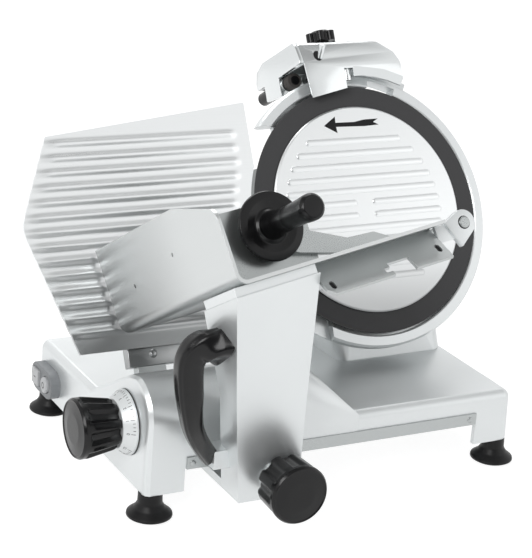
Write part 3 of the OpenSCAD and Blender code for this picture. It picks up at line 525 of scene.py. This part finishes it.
def fluted(radius, height, flutes, depth, crown, root=0.78):
    """A tapered hand knob: wide flat face, scalloped side that ends short of the face's rim."""
    corners = [(0, 0), (radius * root, 0, 1), (radius * (root + 0.06), 3, 6), (radius, height * 0.74, 12),
               (radius, height - 2.4, 1), (radius - 1.6, height, 1.2), (radius - 2.4, height, 0.5),
               (radius - 3.2, height - 0.7, 0.5), (radius * 0.5, height + crown - 0.7, 20), (0, height + crown - 0.7)]
    bm = lathe(corners, 160)
    low = [e for e in bm.edges if abs(e.verts[0].co.z - e.verts[1].co.z) > 4 * MM]
    bmesh.ops.subdivide_edges(bm, edges=low, cuts=10, use_grid_fill=True)
    for v in bm.verts:
        out = math.hypot(v.co.x, v.co.y)
        z = v.co.z / MM
        if out < radius * (root - 0.03) * MM or z > height - 3:
            continue
        swing = (math.cos(flutes * math.atan2(v.co.y, v.co.x)) + 1) / 2
        end = min(1, max(0, (height * 0.84 - z) / (height * 0.16)))
        pull = ease((swing - 0.24) / 0.56) * math.sqrt(end * (2 - end))
        cut = depth * MM * pull / out
        v.co.x *= 1 - cut
        v.co.y *= 1 - cut
    bmesh.ops.recalc_face_normals(bm, faces=bm.faces)
    return bm


# Operators


class SLICER_OT_base(bpy.types.Operator):
    """Base casting, its covers, screws and feet"""

    bl_idname = "slicer.base"
    bl_label = "Base"

    def execute(self, context):
        dress("base_casting", "base", sizes().casting_edge)
        dress("rail_cover", "steel", sizes().sheet_edge)
        dress("bottom_cover", "steel", sizes().sheet_edge)
        dress("cover_screws", "steel", 0)
        foot = [(3.1, 9), (7, 9), (7, 0, 0.4), (17.5, 0, 1), (21, 2, 1), (20.6, 4.2, 1), (14.5, 9, 7), (11.4, 14, 5),
                (11, 24), (3.1, 24), (3.1, 9)]
        spots = [(x, y) for x in (-290, 79) for y in (-145, 100)]
        stand_in("feet_turned", join([(lathe(foot, 64), SHIFT @ at(x, y, 0)) for x, y in spots]), "rubber", "feet")
        dress("cord_gland", "plastic", sizes().turned_edge)
        coat("foot_screws", "steel")
        return {"FINISHED"}


class SLICER_OT_carriage(bpy.types.Operator):
    """Arm, slider, guides, handle and lock knob of the carriage"""

    bl_idname = "slicer.carriage"
    bl_label = "Carriage"

    def execute(self, context):
        dress("carriage_arm", "cast", sizes().casting_edge)
        dress("table_plate", "cast", sizes().sheet_edge)
        dress("carriage_slider", "cast", sizes().sheet_edge)
        stand_in("handle_grip", self.handle(), "plastic", "carriage_handle", smooth=50)
        knob = fluted(27, 34, 8, 3.0, 1.5, 0.9)
        put(knob, SHIFT @ at(-198, -216.4, 53.5) @ facing((0, -1, 0)))
        stand_in("lock_knob_fluted", knob, "plastic", "lock_knob")
        for node, material in (("slide_bushes", "bronze"), ("guide_shoe", "nylon"), ("carriage_rod", "rod"),
                               ("guide_bar", "rod"), ("handle_bolts", "steel"), ("lock_stud", "steel")):
            coat(node, material)
        return {"FINISHED"}

    def handle(self):
        """Loop grip: square flange on the arm, bend, squarish grip with a crease, tapered lower end."""
        # Each stop: place, half depth of the section, half width, lean of its wide side
        stops = [((-273, -231, 194), 13.5, 21, -0.86), ((-280, -230.6, 195), 13, 17, -0.7),
                 ((-288, -229.6, 195), 12.6, 12.6, -0.3), ((-295, -227, 190.6), 12.2, 9.8, 0),
                 ((-298.6, -224.6, 182), 11.8, 9.2, 0), ((-298.6, -222.6, 172), 11.6, 9, 0),
                 ((-296.8, -220.6, 160), 11.4, 8.8, 0), ((-294, -218, 145.5), 11, 8.6, 0),
                 ((-290.6, -214.8, 130), 9.6, 8, 0), ((-285.6, -210, 115), 8.8, 7.6, 0),
                 ((-278, -203.6, 101), 8.4, 7.2, 0), ((-268, -196, 87), 8.2, 7, 0),
                 ((-255.9, -187, 72), 8, 6.8, 0)]
        crease = (-2.3, 0.10)
        count = 84
        points = [Vector(self.along([stop[0] for stop in stops], i / count)) for i in range(count + 1)]
        rings = []
        for i, point in enumerate(points):
            before, after = points[max(i - 1, 0)], points[min(i + 1, count)]
            depth, width, lean = self.along([stop[1:] for stop in stops], i / count)
            rings.append((point + SHIFT.translation / MM, after - before, (0, 1, lean), width, depth))
        return sweep(rings, segments=64, square=4.2, groove=crease)

    def along(self, stops, t):
        """A point on the smooth line through the stops."""
        place = t * (len(stops) - 1)
        i = min(int(place), len(stops) - 2)
        f = place - i
        a, b, c, d = (Vector(stops[min(max(k, 0), len(stops) - 1)]) for k in (i - 1, i, i + 1, i + 2))
        return 0.5 * (2 * b + (c - a) * f + (2 * a - 5 * b + 4 * c - d) * f ** 2 + (3 * b - a - 3 * c + d) * f ** 3)


class SLICER_OT_table(bpy.types.Operator):
    """Product table with its bracket, rod and pusher"""

    bl_idname = "slicer.table"
    bl_label = "Product table"

    def execute(self, context):
        dress("product_table", "sheet", sizes().sheet_edge)
        dress("front_bracket", "bracket", sizes().sheet_edge)
        stand_in("rod_lugs_rounded", self.lugs(), "lug", "rod_lugs")
        rod = lathe([(0, 7), (5, 7, 0.6), (5, 243.4, 0.5), (4, 243.6, 0.3), (0, 243.6)], 48)
        gap = lathe([(5, 242.04), (5.8, 242.04), (5.8, 242.1), (5, 242.1), (5, 242.04)], 48)
        for bm in (rod, gap):
            put(bm, TABLE @ at(*ROD_LINE, 0))
        stand_in("pusher_rod_turned", rod, "steel", "pusher_rod")
        mark("rod_end_gap", gap, "ink", "rod_lugs")
        face = TABLE @ at(0, -48, 232) @ Matrix.Rotation(math.radians(-38), 4, "X")
        screws = join([(slab([(-2.2, -4), (2.2, -4), (2.2, 4), (-2.2, 4)], 1), face @ at(x, y, -2.4))
                       for x, y in ((-211, -26.5), (-101, -23))])
        mark("bracket_screws", screws, "ink", "front_bracket")
        dress("pusher_arm", "steel", sizes().sheet_edge)
        dress("pusher_plate", "steel", sizes().turned_edge)
        head = TABLE @ at(-184, 0, 126)
        guard = lathe([(0, 1.4), (13, 1.4, 0.5), (14, 3.4, 1), (26, 5.9, 8), (31, 5, 0.8), (32, 6.4, 1), (31, 8.8, 1),
                       (24, 9.4, 4), (16, 8, 3), (13.4, 10.2, 0.6), (0, 10.4)])
        put(guard, head)
        stand_in("hand_guard_turned", guard, "plastic", "hand_guard")
        grip = lathe([(0, 10.4), (12.6, 10.4, 0.5), (13, 12.4, 1), (11.2, 24, 20), (10.6, 44, 40), (11.2, 68, 40),
                      (12, 80, 8), (12, 85, 2), (9.4, 87.6, 2), (8, 87.5, 1), (0, 88)])
        put(grip, head)
        stand_in("pusher_grip_turned", grip, "plastic", "pusher_grip")
        dress("pusher_bush", "bronze", sizes().turned_edge)
        return {"FINISHED"}

    def lugs(self):
        """Plates that carry the pusher's rod: a plain one at the knife, a stepped one at the front."""
        eye = 11.4

        def arc(start, end):
            angles = [math.radians(a) for a in range(start, end, -8)]
            return [(eye * math.cos(a), eye * math.sin(a)) for a in angles]

        rear = arc(90, -90) + [(0, -eye), (-43, -eye), (-43, 3.5), (-10.8, 3.5)] + arc(156, 90)
        front = [(-19.3, 4.2)] + arc(112, -60) + [(-8.4, -19.3)]
        foot = [(-29, 3.5), (-14, 3.5), (-8, -11), (-29, -11)]
        parts = []
        for outline, n, thick in ((rear, 8, 5), (front, 236, 6), (foot, 236, 4)):
            bm = slab(outline, thick)
            round_edges(bm, sizes().sheet_edge)
            parts.append((bm, TABLE @ at(*ROD_LINE, n)))
        return join(parts)


class SLICER_OT_gauge(bpy.types.Operator):
    """Ribbed thickness plate, its carrier and the dial"""

    bl_idname = "slicer.gauge"
    bl_label = "Thickness control"

    def execute(self, context):
        stand_in("gauge_plate_pressed", self.plate(), "ribbed", "gauge_plate", smooth=60)
        dress("gauge_carrier", "steel", sizes().turned_edge)
        self.dial()
        coat("gauge_rod", "rod")
        coat("dial_shaft", "steel")
        return {"FINISHED"}

    def plate(self):
        """Pressed sheet: ribs that run out at its left edge and end round before the knife."""
        first_rib, pitch, rib_stop = -92, 13.6, 19
        low, top, ramp = -111, 92, 0.9
        land, sheet = -2.0, 3.4
        ribs = [(v, self.right(v) - rib_stop) for v in (first_rib + pitch * i for i in range(14))]
        bm = bmesh.new()
        bmesh.ops.create_grid(bm, x_segments=80, y_segments=190, size=1)
        for vert in bm.verts:
            s, t = (vert.co.x + 1) / 2, (vert.co.y + 1) / 2
            level = low + t * (top - low) / ramp
            v = min(level, top)
            left = -361.5 + math.hypot((v - 8) * 0.375, 2.5) + (v - 8) * 0.054
            u = left + (self.right(v) - left) * s
            if level > top:
                v += max(0, u + 328) * 25 / 224 * (t - ramp) / (1 - ramp)
            rise = self.relief(u, v, ribs) * (0.3 + 0.7 * ease((u - left) / 16))
            vert.co = Vector((u, v, land + rise)) * MM
        bmesh.ops.remove_doubles(bm, verts=bm.verts, dist=2e-5)
        bmesh.ops.solidify(bm, geom=bm.faces, thickness=sheet * MM)
        bmesh.ops.recalc_face_normals(bm, faces=bm.faces)
        foot = bmesh.new()
        block = Matrix.Diagonal((0.055, 0.024, 0.0116, 1))
        bmesh.ops.create_cube(foot, size=1, matrix=at(-248.5, -116, -12.2) @ block)
        round_edges(foot, 0.0008)
        screw = lathe([(0, 2.2), (2.4, 1.8, 1), (4.2, 0, 0.5), (4.2, -2), (0, -2)], 40)
        return join([(bm, KNIFE), (foot, KNIFE), (screw, KNIFE @ at(-251, -117, -6.4))])

    def right(self, v):
        """The plate's right edge at a height: round the knife, straight above and below it."""
        if v > 52:
            return -117
        if v < -73.7:
            return min(-104, -104 - (-90 - v) * 16 / 21)
        return -math.sqrt(127.5 ** 2 - v * v)

    def relief(self, u, v, ribs):
        """Height of the nearest rib."""
        height, half_width = 1.7, 5.4
        gap = min(math.hypot(max(0, u - end), v - level) for level, end in ribs)
        return height * math.cos(math.pi / 2 * min(1, gap / half_width)) ** 2

    def dial(self):
        """Fluted knob and its graduated skirt."""
        axis = SHIFT @ at(-300.3, -109, 77.4) @ facing((-1, 0, 0))
        knob = fluted(27.5, 38, 8, 4.4, 1.2)
        put(knob, axis @ at(0, 0, 12.7))
        stand_in("dial_knob_fluted", knob, "plastic", "dial_knob")
        skirt = lathe([(5, 0.2), (29.4, 0.2, 0.3), (30, 0.9, 0.3), (30, 2.2, 0.6), (22.5, 12.6, 0.4), (5, 12.6),
                       (5, 0.2)])
        put(skirt, axis)
        stand_in("dial_skirt_turned", skirt, "skirt", "dial_skirt")
        lean = math.atan2(7.5, 10.4)
        marks = []
        for i in range(49):
            turn = Matrix.Rotation(math.radians(i * 320 / 48), 4, "Z")
            face = turn @ at(26.25, 0, 7.4) @ Matrix.Rotation(math.pi / 2 - lean, 4, "Y")
            length = 4.2 if i % 4 == 0 else 2.4
            tick = bmesh.new()
            bmesh.ops.create_cube(tick, size=1, matrix=Matrix.Diagonal((length * MM, 0.42 * MM, 0.08 * MM, 1)))
            marks.append((tick, axis @ face @ at(4.9 - length / 2, 0, 0.03)))
            if i % 4 == 0:
                upright = Matrix.Rotation(math.pi / 2, 4, "Z")
                marks.append((numeral(str(i // 4), 4.0), axis @ face @ at(-1.9, 0, 0.03) @ upright))
        mark("dial_marks", join(marks), "ink", "dial_skirt")
        # Painted shadow: a dark ring at the skirt's wide end for the shadowed gap between the skirt and the body
        ring = lathe([(29.5, 0), (30.05, 0), (30.05, 0.8), (29.5, 0.8), (29.5, 0)])
        put(ring, axis)
        mark("dial_rim", ring, "ink", "dial_skirt")


class SLICER_OT_switch(bpy.types.Operator):
    """Switch housing and its two buttons"""

    bl_idname = "slicer.switch"
    bl_label = "Switch"

    def execute(self, context):
        dress("switch_housing", "switch", sizes().moulded_edge)
        dress("start_button", "button", sizes().moulded_edge)
        dress("stop_button", "button", sizes().moulded_edge)
        face = SHIFT @ at(-312.5, 88, 44) @ facing((-1, 0, 0))
        bar = bmesh.new()
        bmesh.ops.create_cube(bar, size=1, matrix=face @ Matrix.Diagonal((5 * MM, 0.9 * MM, 0.1 * MM, 1)))
        mark("start_sign", bar, "ink", "start_button")
        ring = lathe([(2.2, -0.05), (3.1, -0.05), (3.1, 0.05), (2.2, 0.05), (2.2, -0.05)], 48)
        put(ring, SHIFT @ at(-313, 64, 44) @ facing((-1, 0, 0)))
        mark("stop_sign", ring, "ink", "stop_button")
        return {"FINISHED"}


class SLICER_OT_knife(bpy.types.Operator):
    """Knife, its cover, housing, deflector and drive"""

    bl_idname = "slicer.knife"
    bl_label = "Knife"

    def execute(self, context):
        dress("blade_housing", "base", sizes().casting_edge)
        dress("blade", "knife", 0)
        stand_in("blade_cover_pressed", self.cover(), "plate", "blade_cover", smooth=50)
        dress("slice_deflector", "sheet", sizes().sheet_edge)
        arrow = slab([(-35, 86), (-21, 95), (-21.5, 88.6), (0, 88.4), (12, 90.4), (28, 90.6), (22, 87.4), (28, 84.4),
                      (12, 83.6), (-21.5, 84.4), (-21, 78)], 0.08)
        put(arrow, KNIFE @ at(0, 0, 2.98))
        mark("turning_arrow", arrow, "ink", "blade_cover")
        knob = fluted(19, 24, 6, 2.4, 1)
        put(knob, KNIFE @ at(0, 0, -107.4) @ Matrix.Rotation(math.pi, 4, "X"))
        stand_in("cover_knob_fluted", knob, "plastic", "cover_knob")
        for node in ("blade_hub", "blade_screws", "blade_spindle", "spindle_bearings", "blade_pulley",
                     "cover_tie_rod", "motor_rotor"):
            coat(node, "steel")
        coat("drive_belt", "rubber")
        coat("motor", "motor")
        return {"FINISHED"}

    def cover(self):
        """Round plate with pressed ribs, the middle ones in two lengths."""
        parts = [(lathe([(0, 0.5), (104.4, 0.5), (104.5, 1.6, 0.3), (103, 3, 1.2), (0, 3)], 160), KNIFE)]
        parts.append((lathe([(4, -2), (12, -2, 0.4), (12, 0.6), (4, 0.6), (4, -2)], 48), KNIFE))
        for i in range(12):
            v = 69.5 - 12.6 * i
            half = math.sqrt(88.5 ** 2 - v * v)
            spans = ((-4 - half, -12), (5, half - 4)) if i in (5, 6) else ((-4 - half, half - 4),)
            for start, end in spans:
                parts.append((self.rib(start, end), KNIFE @ at(0, v, 2.7)))
        return join(parts)

    def rib(self, start, end):
        """A half-round bar with round ends."""
        wide, high = 3.4, 1.5
        rings = []
        for i in range(9):
            turn = i / 8 * math.pi / 2
            rings.append((start + wide * (1 - math.cos(turn)), math.sin(turn)))
        rings += [(end - (x - start), swing) for x, swing in reversed(rings)]
        bar = [((x, 0, 0), (1, 0, 0), (0, 1, 0), max(0.05, wide * swing), max(0.02, high * swing))
               for x, swing in rings]
        return sweep(bar, segments=24, square=2)


class SLICER_OT_sharpener(bpy.types.Operator):
    """Sharpener: frame, hood, clamp knob, stones and plungers"""

    bl_idname = "slicer.sharpener"
    bl_label = "Sharpener"

    def execute(self, context):
        hood = solid_copy("sharpener_hood")
        round_edges(hood, sizes().hood_fold, segments=5, keep=self.fold)
        round_edges(hood, sizes().sheet_edge)
        side = slab([(11.6, 149), (10.6, 154), (7, 165), (4.6, 169.6), (0.4, 172), (-66, 172), (-81, 166), (-86, 155),
                     (-86, 148), (-69.2, 148), (-69.2, 131.5), (-37, 129), (-37, 148)], 4.5)
        round_edges(side, sizes().sheet_edge)
        turned = KNIFE @ at(-50.05, 0, 0) @ Matrix.Rotation(-math.pi / 2, 4, "Y")
        skirt = slab([(4, 143.5), (4, 133.5), (14, 133.6), (28, 131.4), (42, 127.4), (56, 121.5), (60.9, 128.6),
                      (60.9, 131), (40, 139), (9, 143.5)], 1.66)
        whole = join([(hood, Matrix()), (side, turned), (skirt, KNIFE @ at(0, 0, 10.37))])
        stand_in("sharpener_hood_folded", whole, "hood", "sharpener_hood")
        roller = lathe([(0, 0), (4.2, 0, 0.6), (4.2, 15, 0.6), (0, 15)], 40)
        put(roller, KNIFE @ at(-1, 130, 5.4) @ facing((0, 1, 0)))
        mark("sharpener_roller", roller, "rod", "sharpener_frame")
        slot = lathe([(0, -0.04), (1, -0.04), (1, 0.04), (0, 0.04)], 40)
        lean = Matrix.Rotation(-math.atan2(7, 23), 4, "X")
        put(slot, KNIFE @ at(-32.4, 156, 9.92) @ lean @ Matrix.Diagonal((4.6, 5.8, 1, 1)))
        mark("hood_slot", slot, "ink", "sharpener_hood")
        dress("sharpener_frame", "steel", sizes().sheet_edge)
        dress("star_knob", "plastic", sizes().moulded_edge)
        for node, material in (("grinding_stone", "stone"), ("honing_stone", "stone"), ("grind_plunger", "plastic"),
                               ("hone_plunger", "plastic")):
            dress(node, material, sizes().turned_edge)
        coat("sharpener_post", "rod")
        return {"FINISHED"}

    def fold(self, edge):
        """True for the long bends of the hood's front."""
        ends = [KNIFE.inverted() @ v.co / MM for v in edge.verts]
        bends = ((172, 5), (149, 12))
        return any(all(math.hypot(e.y - v, e.z - n) < 0.3 for e in ends) for v, n in bends)


def lamp(name, where, size, power):
    """A soft square lamp that looks at the machine's middle."""
    target = (0, 0, 0.2)
    data = bpy.data.lights.new(name, "AREA")
    data.shape = "SQUARE"
    data.size = size
    data.energy = power
    made = bpy.data.objects.new(name, data)
    made.location = where
    made.rotation_euler = (Vector(target) - Vector(where)).to_track_quat("-Z", "Y").to_euler()
    bpy.context.collection.objects.link(made)


class SLICER_OT_stage(bpy.types.Operator):
    """Floor, soft studio light and the camera"""

    bl_idname = "slicer.stage"
    bl_label = "Stage"

    def execute(self, context):
        scene = context.scene
        scene.view_settings.view_transform = "Standard"
        bm = bmesh.new()
        bmesh.ops.create_grid(bm, x_segments=1, y_segments=1, size=sizes().floor / 2)
        bmesh.ops.translate(bm, verts=bm.verts, vec=(0, 0, -0.0005))
        mesh = bpy.data.meshes.new("floor")
        bm.to_mesh(mesh)
        bm.free()
        floor = bpy.data.objects.new("floor", mesh)
        context.collection.objects.link(floor)
        pale = bpy.data.materials.new("floor_pale")
        pale.use_nodes = True
        tree = pale.node_tree
        tree.nodes.clear()
        seen = self.background_rays(tree)
        plain = add(tree, "ShaderNodeBsdfDiffuse", Color=(0.80, 0.80, 0.80, 1))
        shade = add(tree, "ShaderNodeBsdfDiffuse", Color=(0.30, 0.30, 0.30, 1))
        glow = add(tree, "ShaderNodeEmission", Color=(1, 1, 1, 1), Strength=0.89)
        white = add(tree, "ShaderNodeAddShader", in0=shade.outputs[0], in1=glow.outputs[0])
        mixed = add(tree, "ShaderNodeMixShader", in0=seen, in1=plain.outputs[0], in2=white.outputs[0])
        add(tree, "ShaderNodeOutputMaterial", Surface=mixed.outputs[0])
        mesh.materials.append(pale)
        self.sky(scene)
        lamp("key_left", (-1.6, -1.3, 1.5), 1.2, 30)
        lamp("front_right", (1.8, -1.5, 0.9), 1.4, 2.6)
        lamp("top_back", (0.3, 1.3, 2.0), 1.6, 24)
        self.camera(scene)
        return {"FINISHED"}

    def background_rays(self, tree):
        """One where a ray may see the white background: from the camera, in metal or through glass."""
        path = add(tree, "ShaderNodeLightPath").outputs
        either = add(tree, "ShaderNodeMath", {"operation": "MAXIMUM"}, in0=path["Is Camera Ray"],
                     in1=path["Is Glossy Ray"])
        return add(tree, "ShaderNodeMath", {"operation": "MAXIMUM"}, in0=either.outputs[0],
                   in1=path["Is Transmission Ray"]).outputs[0]

    def sky(self, scene):
        """White behind the object, and a softer even light from all round."""
        world = bpy.data.worlds.new("studio")
        scene.world = world
        world.use_nodes = True
        tree = world.node_tree
        tree.nodes.clear()
        light = add(tree, "ShaderNodeBackground", Color=(1, 1, 1, 1), Strength=0.40)
        white = add(tree, "ShaderNodeBackground", Color=(1, 1, 1, 1), Strength=self.room(tree))
        mixed = add(tree, "ShaderNodeMixShader", in0=self.background_rays(tree), in1=light.outputs[0],
                    in2=white.outputs[0])
        add(tree, "ShaderNodeOutputWorld", Surface=mixed.outputs[0])

    def room(self, tree):
        """White for the camera; in metal a room with a dim ceiling and a dim place behind the operator."""
        look = add(tree, "ShaderNodeTexCoord").outputs["Generated"]
        height = add(tree, "ShaderNodeSeparateXYZ", Vector=look).outputs["Z"]
        ceiling = add(tree, "ShaderNodeMapRange", Value=height, From_Min=0.66, From_Max=0.92, To_Min=1.0, To_Max=0.42)
        ahead = add(tree, "ShaderNodeVectorMath", {"operation": "DOT_PRODUCT"}, in0=look, in1=(-0.46, -0.83, 0.33))
        behind = add(tree, "ShaderNodeMapRange", Value=ahead.outputs["Value"], From_Min=0.74, From_Max=0.93,
                     To_Min=1.0, To_Max=0.08)
        both = add(tree, "ShaderNodeMath", {"operation": "MULTIPLY"}, in0=ceiling.outputs[0], in1=behind.outputs[0])
        glossy = add(tree, "ShaderNodeLightPath").outputs["Is Glossy Ray"]
        return add(tree, "ShaderNodeMix", {"data_type": "FLOAT"}, in0=glossy, in2=1.0, in3=both.outputs[0]).outputs[0]

    def camera(self, scene):
        """Camera where the photograph was taken: to the left of the front, above, slightly rolled."""
        data = bpy.data.cameras.new("camera")
        data.sensor_width = 36
        data.lens = sizes().lens
        made = bpy.data.objects.new("camera", data)
        right = Vector((0.88364353, -0.46241108, 0.07314445))
        up = Vector((0.09106409, 0.3230247, 0.94199914))
        back = right.cross(up)
        place = Matrix((right, up, back)).transposed().to_4x4()
        place.translation = SHIFT @ Vector((-0.88604, -1.39683, 0.71045))
        made.matrix_world = place
        bpy.context.collection.objects.link(made)
        scene.camera = made


class SLICER_PT_panel(bpy.types.Panel):
    """Lists the slicer's operators and settings"""

    bl_idname = "SLICER_PT_panel"
    bl_label = "Gravity slicer"
    bl_space_type = "VIEW_3D"
    bl_region_type = "UI"
    bl_category = "Slicer"

    def draw(self, context):
        for operator in OPERATORS:
            self.layout.operator(operator.bl_idname)
        for group in (context.scene.slicer_sizes, context.scene.slicer_colours):
            for name in group.bl_rna.properties.keys():
                if name not in ("rna_type", "name"):
                    self.layout.prop(group, name)


OPERATORS = (SLICER_OT_base, SLICER_OT_carriage, SLICER_OT_table, SLICER_OT_gauge, SLICER_OT_switch, SLICER_OT_knife,
             SLICER_OT_sharpener, SLICER_OT_stage)
CLASSES = (SlicerSizes, SlicerColours, *OPERATORS, SLICER_PT_panel)


def register():
    for cls in CLASSES:
        bpy.utils.register_class(cls)
    bpy.types.Scene.slicer_sizes = PointerProperty(type=SlicerSizes)
    bpy.types.Scene.slicer_colours = PointerProperty(type=SlicerColours)


def unregister():
    del bpy.types.Scene.slicer_colours
    del bpy.types.Scene.slicer_sizes
    for cls in reversed(CLASSES):
        bpy.utils.unregister_class(cls)


def main():
    for other in [o for o in bpy.data.objects if o.name in ("Cube", "Light", "Camera")]:
        bpy.data.objects.remove(other)
    register()
    for operator in OPERATORS:
        group, name = operator.bl_idname.split(".")
        getattr(getattr(bpy.ops, group), name)()


if __name__ == "__main__":
    main()
